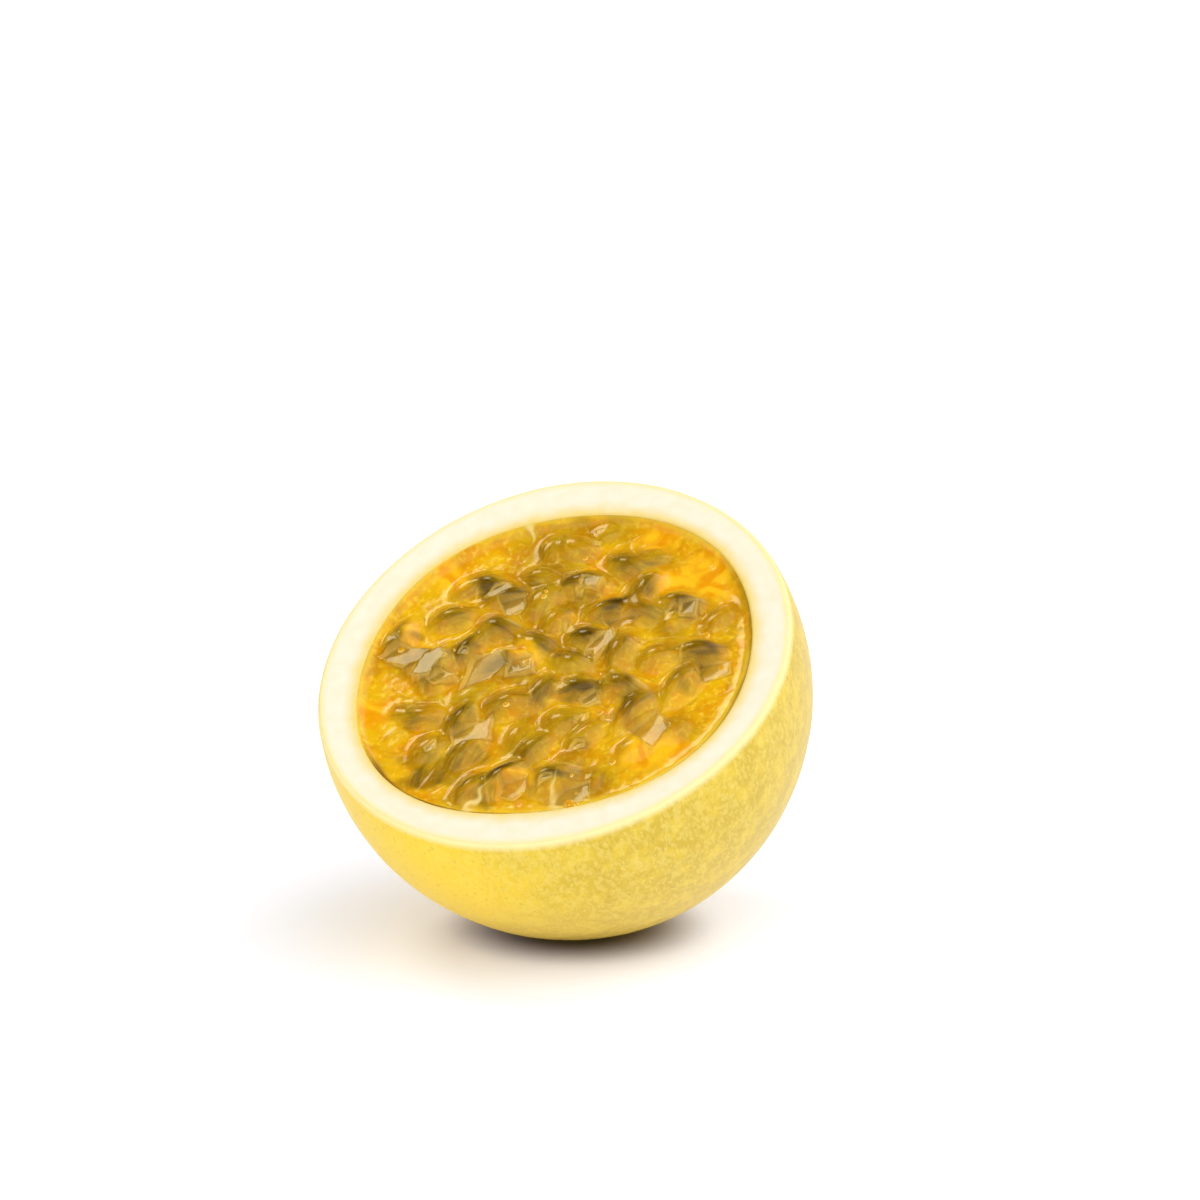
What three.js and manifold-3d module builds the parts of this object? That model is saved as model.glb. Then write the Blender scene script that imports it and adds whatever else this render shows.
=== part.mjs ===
// Half of a yellow passion fruit, cut across and lying on its rounded side with the cut face tipped up.
// Millimetres, +Z up. The origin is the middle of the small flat spot that the fruit rests on, and the
// cut face tips towards -Y. Two pieces: the rind (skin and pith, grown as one) and the pulp inside it
// (juice sacs run together, with the seeds that stand out of them).
import * as THREE from 'three'
import { mergeVertices } from 'three/addons/utils/BufferGeometryUtils.js'
import Module from 'manifold-3d'

const degree = Math.PI / 180

// Driving dimensions of the fruit, in its own frame: axis along +Z, cut face at z = 0, body below
const cutRadius = 34
const depth = 45.2
const roundness = 1.954 // exponent of the flank's curve, where 2 is an ellipse
const belly = 0.065 // how far the flank swells out below the cut, as a share
const rindAtCut = 5.8
const rindAtEnd = 5.8
const skinEdge = 0.6 // rounding where the skin meets the cut
const pithEdge = 0.5 // rounding where the cut meets the hollow

// How it lies
const tip = 35.2 * degree
const flatDepth = 0.45 // how much of the underside is pressed flat

// The blossom end: a shallow dimple with the dried stub of the flower in it
const dimpleDepth = 0.9
const dimpleRadius = 3.6
const stubRadius = 1.1
const stubHeight = 1.3

// Out-of-round waves on a circle: how many, how high in mm and where the first crest is
const skinWaves = [
  { count: 2, height: 0.11, crest: -20 * degree },
  { count: 3, height: 0.18, crest: -37 * degree },
]
const hollowWaves = [
  { count: 1, height: 0.67, crest: -55 * degree },
  { count: 2, height: 0.42, crest: 40 * degree },
  { count: 3, height: 0.26, crest: -43 * degree },
  { count: 4, height: 0.41, crest: -121 * degree },
]

// The pulp
const pulpGap = 0.3
const pulpValley = -1.5 // lowest level between the sacs
const pulpCrown = 0.4 // how much higher the middle stands than the rim of the pulp
const brimLevel = -0.2 // where the juice meets the pith
const brimReach = 0.9 // how far from the pith the juice still climbs
const sacCount = 54
const sacLayout = 178796 // the random draws that every sac's place and size come from
const sacStandoff = 3.6 // clear of the pith
const sacStray = 0.8 // how far a sac strays in or out from its place in the spread
const sacTurn = 0.15 // and how far round, in radians
const sacHeading = [-15 * degree, 95 * degree] // the ways that sacs lie
const sacHalfLength = [4.2, 5.3]
const sacHalfWidth = [2.9, 3.7]
const sacTop = [-0.9, 0.2]
const sacDrop = 2.2 // how far a sac falls away at its half length or half width
const sacBlend = 0.26 // how softly one sac runs into the next
const seedHalf = new THREE.Vector3(2.95, 2.15, 1.3)
const seedPoint = 0.26 // how much narrower the seed is at its pointed end
const seedLift = [-1.5, -0.5] // the seed's middle over the top of its sac
const seedPitch = 18 * degree
const seedRoll = 30 * degree
const seedStandoff = 3.4
const seedShown = -1.15 // a seed that lies deeper than this stays under its sac

// Mesh fineness
const turns = 72
const wallRings = 15
const hollowRings = 9
const pulpRings = 18
const pulpWallRings = 6
const seedSides = 8
const seedRings = 6
const weld = 1e-4

const wasm = await Module()
wasm.setup()

// Seeded random numbers from 0 to 1, the same on every run
function randomFrom(seed) {
  let state = seed >>> 0
  return () => {
    state = (state + 0x6d2b79f5) >>> 0
    let t = state
    t = Math.imul(t ^ (t >>> 15), t | 1)
    t ^= t + Math.imul(t ^ (t >>> 7), t | 61)
    return ((t ^ (t >>> 14)) >>> 0) / 4294967296
  }
}

// A closed three.js geometry as a solid that can be joined and cut
function solidFrom(geometry) {
  const bare = geometry.clone()
  bare.deleteAttribute('normal')
  bare.deleteAttribute('uv')
  const merged = mergeVertices(bare, weld)
  return new wasm.Manifold(
    new wasm.Mesh({
      numProp: 3,
      vertProperties: merged.attributes.position.array,
      triVerts: new Uint32Array(merged.index.array),
    }),
  )
}

function geometryFrom(solid) {
  const mesh = solid.getMesh()
  const geometry = new THREE.BufferGeometry()
  geometry.setAttribute('position', new THREE.BufferAttribute(mesh.vertProperties, 3))
  geometry.setIndex(new THREE.BufferAttribute(mesh.triVerts, 1))
  geometry.computeVertexNormals()
  return geometry
}

// Radius of an egg-shaped wall at a depth share of 0 at the cut and 1 at the end
function flank(radius, share) {
  const s = Math.min(1, Math.max(0, share))
  const curve = (1 - s ** roundness) ** (1 / roundness)
  return radius * curve * (1 + 4 * belly * s * (1 - s))
}

// Factor that takes a circle of the given radius out of round
function wave(waves, angle, radius) {
  const height = waves.reduce((sum, w) => sum + w.height * Math.cos(w.count * angle - w.crest), 0)
  return 1 + height / radius
}

// Turns a profile of { x, z, skin } points round +Z. skin is 1 where the skin's waves hold and 0 where
// the hollow's do.
function turned(profile) {
  const points = profile.map((p) => new THREE.Vector2(p.x, p.z))
  const geometry = new THREE.LatheGeometry(points, turns)
  geometry.rotateX(Math.PI / 2)
  const at = geometry.attributes.position
  for (let i = 0; i < at.count; i++) {
    const skin = profile[i % profile.length].skin
    const angle = Math.atan2(at.getY(i), at.getX(i))
    const outer = wave(skinWaves, angle, cutRadius)
    const inner = wave(hollowWaves, angle, cutRadius - rindAtCut)
    const factor = THREE.MathUtils.lerp(inner, outer, skin)
    at.setXY(i, at.getX(i) * factor, at.getY(i) * factor)
  }
  return geometry
}

// A quarter round from one direction to another, as points about a centre
function quarter(x, z, radius, from, steps) {
  return Array.from({ length: steps + 1 }, (_, i) => {
    const a = from + (i / steps) * (Math.PI / 2)
    return { x: x + radius * Math.cos(a), z: z + radius * Math.sin(a) }
  })
}

// The skin's side of the rind's profile, from the axis at the blossom end up to the cut
function skinProfile() {
  const stubTop = -depth + dimpleDepth - stubHeight
  const profile = [
    { x: 0, z: stubTop },
    { x: stubRadius * 0.8, z: stubTop + 0.15 },
    { x: stubRadius, z: -depth + dimpleDepth - 0.1 },
  ]
  const first = 0.055 // where the curve starts beside the stub, as a share of a quarter turn
  for (let i = 0; i <= wallRings; i++) {
    const a = (first + (1 - first) * (i / wallRings)) * (Math.PI / 2)
    const share = Math.cos(a)
    const x = flank(cutRadius, share)
    const dimple = dimpleDepth * Math.exp(-((x / dimpleRadius) ** 2))
    const z = -depth * share + dimple
    if (z < -skinEdge) profile.push({ x, z })
  }
  return profile.map((p) => ({ ...p, skin: 1 }))
}

// The cut across the rind, with its two rounded edges
function cutProfile() {
  const hollowRadius = cutRadius - rindAtCut
  const outside = quarter(cutRadius - skinEdge, -skinEdge, skinEdge, 0, 2)
  const inside = quarter(hollowRadius + pithEdge, -pithEdge, pithEdge, Math.PI / 2, 2)
  return [
    ...outside.map((p) => ({ ...p, skin: 1 })),
    ...inside.map((p) => ({ ...p, skin: 0 })),
  ]
}

// The hollow's wall, from the cut down to the axis
function hollowProfile() {
  const profile = []
  for (let i = 1; i <= hollowRings; i++) {
    const share = Math.sin((i / hollowRings) * (Math.PI / 2))
    profile.push({
      x: i < hollowRings ? flank(cutRadius - rindAtCut, share) : 0,
      z: -(depth - rindAtEnd) * share,
      skin: 0,
    })
  }
  return profile
}

// Where the middle of the cut goes, so that the lowest point of the tipped skin is at the origin before
// the underside is pressed flat
function lyingPlace() {
  const steps = 2000
  let lowest = { drop: 0, back: 0 }
  for (let i = 0; i <= steps; i++) {
    const below = (depth * i) / steps
    const radius = flank(cutRadius, below / depth)
    const drop = radius * Math.sin(tip) + below * Math.cos(tip)
    const back = below * Math.sin(tip) - radius * Math.cos(tip)
    if (drop > lowest.drop) lowest = { drop, back }
  }
  return new THREE.Vector3(0, -lowest.back, lowest.drop)
}

// The rind: skin and pith, hollow for the pulp, with the underside pressed flat by the floor
function makeRind(lying) {
  const shell = solidFrom(turned([...skinProfile(), ...cutProfile(), ...hollowProfile()]))
  const size = 4 * cutRadius
  const floor = new THREE.BoxGeometry(size, size, size)
  floor.translate(0, 0, -size / 2)
  floor.applyMatrix4(lying.clone().invert())
  return geometryFrom(shell.subtract(solidFrom(floor)))
}

// The juice sacs: a sunflower spread over the cut, each with its own heading and size
function makeSacs() {
  const random = randomFrom(sacLayout)
  const between = ([low, high]) => low + random() * (high - low)
  const golden = 137.508 * degree
  const reach = cutRadius - rindAtCut - sacStandoff
  return Array.from({ length: sacCount }, (_, i) => {
    const radius = reach * Math.sqrt((i + 0.5) / sacCount) + between([-sacStray, sacStray])
    const angle = i * golden + between([-sacTurn, sacTurn])
    return {
      x: radius * Math.cos(angle),
      y: radius * Math.sin(angle),
      heading: between(sacHeading) + (random() < 0.5 ? Math.PI : 0),
      halfLength: between(sacHalfLength),
      halfWidth: between(sacHalfWidth),
      top: between(sacTop),
      seedLift: between(seedLift),
      seedPitch: between([-seedPitch, seedPitch]),
      seedRoll: between([-seedRoll, seedRoll]),
    }
  })
}

// Height of the pulp's surface over a point of the cut
function pulpHeight(sacs, x, y) {
  const edge = (cutRadius - rindAtCut) * wave(hollowWaves, Math.atan2(y, x), cutRadius - rindAtCut)
  const reach = Math.min(1, Math.hypot(x, y) / edge)
  let sum = Math.exp(pulpValley / sacBlend)
  for (const sac of sacs) {
    const dx = x - sac.x
    const dy = y - sac.y
    const along = (dx * Math.cos(sac.heading) + dy * Math.sin(sac.heading)) / sac.halfLength
    const across = (dy * Math.cos(sac.heading) - dx * Math.sin(sac.heading)) / sac.halfWidth
    sum += Math.exp((sac.top - sacDrop * (along * along + across * across)) / sacBlend)
  }
  const level = sacBlend * Math.log(sum) + pulpCrown * (1 - reach * reach)
  return THREE.MathUtils.lerp(level, brimLevel, Math.exp((-(1 - reach) * edge) / brimReach))
}

// The body of the pulp: it fills the hollow and its top follows the sacs
function pulpBody(sacs) {
  const innerRadius = cutRadius - rindAtCut - pulpGap
  const innerDepth = depth - rindAtEnd - pulpGap
  const profile = []
  for (let i = 0; i <= pulpWallRings; i++) profile.push({ x: i ? innerRadius : 0, z: -innerDepth, skin: 0 })
  for (let i = 1; i <= pulpRings; i++) profile.push({ x: innerRadius * (1 - i / pulpRings), z: 0, skin: 0 })
  const geometry = new THREE.LatheGeometry(
    profile.map((p) => new THREE.Vector2(p.x, p.z)),
    turns,
  )
  geometry.rotateX(Math.PI / 2)
  const at = geometry.attributes.position
  for (let i = 0; i < at.count; i++) {
    const row = i % profile.length
    const column = Math.floor(i / profile.length)
    const angle = (column / turns) * 2 * Math.PI
    const round = wave(hollowWaves, angle, cutRadius - rindAtCut)
    const rim = innerRadius * round
    const brink = pulpHeight(sacs, rim * Math.cos(angle), rim * Math.sin(angle))
    let radius
    let z
    if (row <= pulpWallRings) {
      const share = Math.cos((row / pulpWallRings) * (Math.PI / 2))
      z = brink + (-innerDepth - brink) * share
      radius = row ? flank(innerRadius, -z / innerDepth) * round : 0
    } else {
      const out = 1 - (row - pulpWallRings) / pulpRings
      radius = flank(innerRadius, -brink / innerDepth) * round * out
      z = pulpHeight(sacs, radius * Math.cos(angle), radius * Math.sin(angle))
    }
    at.setXYZ(i, radius * Math.cos(angle), radius * Math.sin(angle), z)
  }
  return geometry
}

// A flat, pointed seed lying in its sac
function makeSeed(sac, sacs) {
  const geometry = new THREE.SphereGeometry(1, seedSides, seedRings)
  geometry.rotateZ(Math.PI / 2)
  const at = geometry.attributes.position
  for (let i = 0; i < at.count; i++) {
    const narrow = 1 - seedPoint * (at.getX(i) + 1) * 0.5
    at.setXYZ(
      i,
      at.getX(i) * seedHalf.x,
      at.getY(i) * seedHalf.y * narrow,
      at.getZ(i) * seedHalf.z * narrow,
    )
  }
  geometry.rotateX(sac.seedRoll)
  geometry.rotateY(sac.seedPitch)
  geometry.rotateZ(sac.heading)
  geometry.translate(sac.x, sac.y, pulpHeight(sacs, sac.x, sac.y) + sac.seedLift)
  return geometry
}

// The pulp: the juice sacs' body with the seeds that break its surface fused in
function makePulp() {
  const sacs = makeSacs()
  const reach = cutRadius - rindAtCut - seedStandoff
  const shown = sacs.filter((sac) => sac.seedLift > seedShown && Math.hypot(sac.x, sac.y) < reach)
  const seeds = shown.map((sac) => solidFrom(makeSeed(sac, sacs)))
  return geometryFrom(seeds.reduce((whole, seed) => whole.add(seed), solidFrom(pulpBody(sacs))))
}

const rindMaterial = new THREE.MeshStandardMaterial({ color: 0xf0d052, roughness: 0.45, metalness: 0 })
const pulpMaterial = new THREE.MeshStandardMaterial({ color: 0xd9971c, roughness: 0.15, metalness: 0 })

const halfFruit = new THREE.Group()
halfFruit.rotation.x = tip
halfFruit.position.copy(lyingPlace())
halfFruit.position.z -= flatDepth
halfFruit.updateMatrix()

const rind = new THREE.Mesh(makeRind(halfFruit.matrix), rindMaterial)
rind.name = 'rind'
const pulp = new THREE.Mesh(makePulp(), pulpMaterial)
pulp.name = 'pulp'
halfFruit.add(rind, pulp)

const passionFruit = new THREE.Group()
passionFruit.add(halfFruit)

export default passionFruit
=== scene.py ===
import math

import bpy
import numpy as np
from mathutils import Matrix


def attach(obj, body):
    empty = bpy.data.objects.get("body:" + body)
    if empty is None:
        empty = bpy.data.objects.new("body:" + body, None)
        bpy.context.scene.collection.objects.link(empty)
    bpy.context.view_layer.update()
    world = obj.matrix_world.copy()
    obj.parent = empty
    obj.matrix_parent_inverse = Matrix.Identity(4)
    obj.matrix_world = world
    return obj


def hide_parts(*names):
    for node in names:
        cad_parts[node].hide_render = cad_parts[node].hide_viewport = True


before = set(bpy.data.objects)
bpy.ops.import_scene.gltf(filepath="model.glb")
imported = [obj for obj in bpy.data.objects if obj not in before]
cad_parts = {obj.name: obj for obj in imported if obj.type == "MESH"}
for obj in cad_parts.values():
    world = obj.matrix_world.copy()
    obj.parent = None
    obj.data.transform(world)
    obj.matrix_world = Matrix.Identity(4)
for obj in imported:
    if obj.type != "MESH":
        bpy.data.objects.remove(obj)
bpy.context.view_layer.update()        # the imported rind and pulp, both on the body called root
mm = 0.001

# The half in its own frame, in millimetres: axis along +Z, cut face at z = 0, body below
fruit = {
    "cutRadius": 34.0,
    "depth": 45.2,
    "roundness": 1.954,              # exponent of the flank's curve, where 2 is an ellipse
    "belly": 0.065,                  # how far the flank swells out below the cut, as a share
    "rindAtCut": 5.8,
    "rindAtEnd": 5.8,
    "tip": math.radians(35.2),       # how far the cut face tips towards -Y
    "flatDepth": 0.45,               # how much of the underside is pressed flat
    "skinWaves": [(2, 0.11, -20), (3, 0.18, -37)],     # count, height, degrees to the first crest
    "hollowWaves": [(1, 0.67, -55), (2, 0.42, 40), (3, 0.26, -43), (4, 0.41, -121)],
}
hollowRadius = fruit["cutRadius"] - fruit["rindAtCut"]


# Radius of an egg-shaped wall at a depth share of 0 at the cut and 1 at the end
def flank(radius, share):
    s = np.clip(share, 0, 1)
    power = fruit["roundness"]
    return radius * (1 - s ** power) ** (1 / power) * (1 + 4 * fruit["belly"] * s * (1 - s))


# Factor that takes a circle of the given radius out of round
def wave(waves, angle, radius):
    return 1 + sum(h * np.cos(n * angle - math.radians(crest)) for n, h, crest in waves) / radius


# How the half lies: tipped, with its lowest skin at the origin and pressed flat there
def lyingMatrix():
    below = np.linspace(0, fruit["depth"], 2001)
    radius = flank(fruit["cutRadius"], below / fruit["depth"])
    drop = radius * math.sin(fruit["tip"]) + below * math.cos(fruit["tip"])
    back = below * math.sin(fruit["tip"]) - radius * math.cos(fruit["tip"])
    low = int(np.argmax(drop))
    place = (0, -back[low] * mm, (drop[low] - fruit["flatDepth"]) * mm)
    return Matrix.Translation(place) @ Matrix.Rotation(fruit["tip"], 4, "X")


lying = lyingMatrix()
print("lying", [round(v / mm, 2) for v in lying.translation], "mm")


# Points of the fruit's own frame in millimetres, as places in the part's frame in metres
def placed(points):
    turn = np.array(lying.to_3x3())
    return np.asarray(points, float) * mm @ turn.T + np.array(lying.translation)


# Gives a node its inputs, by name or in order. Each takes a value, a colour as text, a link from a socket,
# or a link from a node's first output.
def feed(tree, node, inputs):
    named = inputs if isinstance(inputs, dict) else dict(enumerate(inputs))
    for name, value in named.items():
        if isinstance(value, bpy.types.Node):
            value = value.outputs[0]
        if isinstance(value, bpy.types.NodeSocket):
            tree.links.new(value, node.inputs[name])
        elif isinstance(value, str) and value.startswith("#"):
            node.inputs[name].default_value = hexColour(value)
        else:
            node.inputs[name].default_value = value


# Adds a node with its settings, or only its operation as text, and its inputs
def addNode(tree, kind, settings=(), inputs=()):
    node = tree.nodes.new(kind)
    named = {"operation": settings} if isinstance(settings, str) else dict(settings)
    for name, value in named.items():
        setattr(node, name, value)
    feed(tree, node, inputs)
    return node


# Adds a node of one kind for each row, which holds its name and a value for each of the given inputs
def addNodes(tree, kind, settings, inputs, rows):
    return {name: addNode(tree, kind, settings, dict(zip(inputs, values))) for name, *values in rows}


# What many nodes share, and how a grown piece is laid down
maths = "ShaderNodeMath"
floats = {"data_type": "FLOAT"}
rgba = {"data_type": "RGBA"}
smooth = {"interpolation_type": "SMOOTHSTEP"}
noiseInputs = ("Vector", "Scale", "Detail", "Distortion")
rampInputs = ("Value", "From Min", "From Max", "To Min", "To Max")
laidDown = {"Translation": tuple(lying.translation), "Rotation": (fruit["tip"], 0.0, 0.0)}


# An sRGB hex colour as the linear colour that nodes take
def hexColour(text):
    channels = [int(text[i:i + 2], 16) / 255 for i in (1, 3, 5)]
    linear = [c / 12.92 if c <= 0.04045 else ((c + 0.055) / 1.055) ** 2.4 for c in channels]
    return (*linear, 1.0)


# A new node tree for a piece, with its named inputs
def newRule(name, inputs):
    tree = bpy.data.node_groups.new(name, "GeometryNodeTree")
    tree.interface.new_socket("Geometry", in_out="INPUT", socket_type="NodeSocketGeometry")
    for label, (kind, value) in inputs.items():
        socket = tree.interface.new_socket(label, in_out="INPUT", socket_type=kind)
        socket.default_value = value
    tree.interface.new_socket("Geometry", in_out="OUTPUT", socket_type="NodeSocketGeometry")
    return tree, addNode(tree, "NodeGroupInput").outputs


# Starts a piece from points, edges and faces, with values on its points
def startMesh(name, points, edges=(), faces=(), values=None):
    mesh = bpy.data.meshes.new(name)
    mesh.from_pydata(np.asarray(points, float).tolist(), edges, faces)
    for label, (kind, numbers) in (values or {}).items():
        layer = mesh.attributes.new(label, kind, "POINT")
        field = "vector" if kind == "FLOAT_VECTOR" else "value"
        layer.data.foreach_set(field, np.asarray(numbers, float).ravel())
    return mesh


# Runs a rule on a mesh with its sizes and leaves the result as a plain piece
def growPiece(name, mesh, tree, sizes):
    piece = bpy.data.objects.new(name, mesh)
    bpy.context.scene.collection.objects.link(piece)
    rule = piece.modifiers.new("rule", "NODES")
    rule.node_group = tree
    for item in tree.interface.items_tree:
        if item.in_out == "INPUT" and item.name in sizes:
            rule[item.identifier] = sizes[item.name]
    graph = bpy.context.evaluated_depsgraph_get()
    grown = bpy.data.meshes.new_from_object(
        piece.evaluated_get(graph), preserve_all_data_layers=True, depsgraph=graph)
    piece.modifiers.clear()
    piece.data = grown
    return piece


# The camera first: it looks down on the cut from its right, as far off as the reference's perspective
view = {
    "azimuth": math.radians(25),
    "elevation": math.radians(14),
    "distance": 700 * mm,              # from the middle of the cut
    "pixelsPerMm": 7.18,               # there, in a frame of 1200 pixels
    "framePixels": 1200,
    "cutCentre": (552.4, 658.0),       # where the middle of the cut is in that frame
    "sensor": 36.0,
}


def addCamera():
    a, e = view["azimuth"], view["elevation"]
    back = np.array([math.sin(a) * math.cos(e), -math.cos(a) * math.cos(e), math.sin(e)])
    right = np.array([math.cos(a), math.sin(a), 0.0])
    up = np.cross(back, right)
    middle = view["framePixels"] / 2
    aside = (middle - view["cutCentre"][0]) / view["pixelsPerMm"] * mm
    above = (view["cutCentre"][1] - middle) / view["pixelsPerMm"] * mm
    eye = np.array(lying.translation) + back * view["distance"] + right * aside + up * above
    data = bpy.data.cameras.new("camera")
    data.sensor_width = view["sensor"]
    data.lens = view["pixelsPerMm"] / mm * view["distance"] * view["sensor"] / view["framePixels"]
    data.clip_start, data.clip_end = 0.05, 50
    camera = bpy.data.objects.new("camera", data)
    turn = Matrix((right, up, back)).transposed().to_4x4()
    camera.matrix_world = Matrix.Translation(eye) @ turn
    bpy.context.scene.collection.objects.link(camera)
    bpy.context.scene.camera = camera
    return back


cameraBack = addCamera()
print("camera: lens", round(bpy.context.scene.camera.data.lens, 1), "mm")

# The rind, turned round its axis from a profile
rindLook = {
    "turns": 330,
    "skinRows": 92,
    "hollowRows": 22,
    "cutRows": 24,
    "edgeSteps": 6,           # rows round each edge
    "skinEdge": 0.6,          # rounding where the skin meets the cut
    "pithEdge": 0.5,          # rounding where the cut meets the hollow
    "dimpleDepth": 0.9,       # the blossom end, with the dried stub of the flower in it
    "dimpleRadius": 3.6,
    "stubRadius": 1.1,
    "stubHeight": 1.3,
    # the stub's outline from its crater outwards: share of its radius, and mm from its top
    "stubShape": [(0, 0.3), (0.4, 0.2), (0.7, 0), (0.85, 0), (0.92, 0.2), (0.88, 0.65), (1, 1.3)],
    "unevenness": 0.26,       # how far the surface strays from a turned one
    "unevenSize": 13.0,
    "cutUnevenness": 0.10,    # the knife's ripples across the pith
    "onCut": (-1.5, 0.8),     # way along the profile over which the one gives place to the other
}


# The rind's profile as rows of distance from the axis, height, share of the skin's waves, and the way
# along the profile from the outer edge of the cut, which is negative on the skin
def rindProfile():
    look = rindLook
    stub = look["stubRadius"]
    top = look["dimpleDepth"] - fruit["depth"] - look["stubHeight"]
    rows = [(stub * out, top + sunk, 1.0) for out, sunk in look["stubShape"]]
    for i in range(1, look["skinRows"] + 1):
        share = math.cos(i / look["skinRows"] * math.pi / 2)
        x = float(flank(fruit["cutRadius"], share))
        z = -fruit["depth"] * share + look["dimpleDepth"] * math.exp(-((x / look["dimpleRadius"]) ** 2))
        if x > stub * 1.3 and z < -look["skinEdge"]:
            rows.append((x, z, 1.0))
    edge, steps = look["skinEdge"], look["edgeSteps"]
    for i in range(steps + 1):
        a = i / steps * math.pi / 2
        rows.append((fruit["cutRadius"] - edge + edge * math.cos(a), -edge + edge * math.sin(a), 1.0))
    outerEdge = len(rows) - steps // 2
    across = fruit["rindAtCut"] - edge - look["pithEdge"]
    for i in range(1, look["cutRows"]):
        share = i / look["cutRows"]
        rows.append((fruit["cutRadius"] - edge - across * share, 0.0, 1.0 - share))
    edge = look["pithEdge"]
    for i in range(steps + 1):
        a = math.pi / 2 * (1 + i / steps)
        rows.append((hollowRadius + edge + edge * math.cos(a), -edge + edge * math.sin(a), 0.0))
    deepest = fruit["depth"] - fruit["rindAtEnd"]
    for i in range(1, look["hollowRows"] + 1):
        share = math.sin(i / look["hollowRows"] * math.pi / 2)
        z = -deepest * share
        x = float(flank(hollowRadius, share)) if i < look["hollowRows"] else 0.0
        if z < -look["pithEdge"] - 0.3:
            rows.append((x, z, 0.0))
    rows = np.array(rows)
    way = np.r_[0, np.cumsum(np.hypot(np.diff(rows[:, 0]), np.diff(rows[:, 1])))]
    return rows, way - way[outerEdge]


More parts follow.
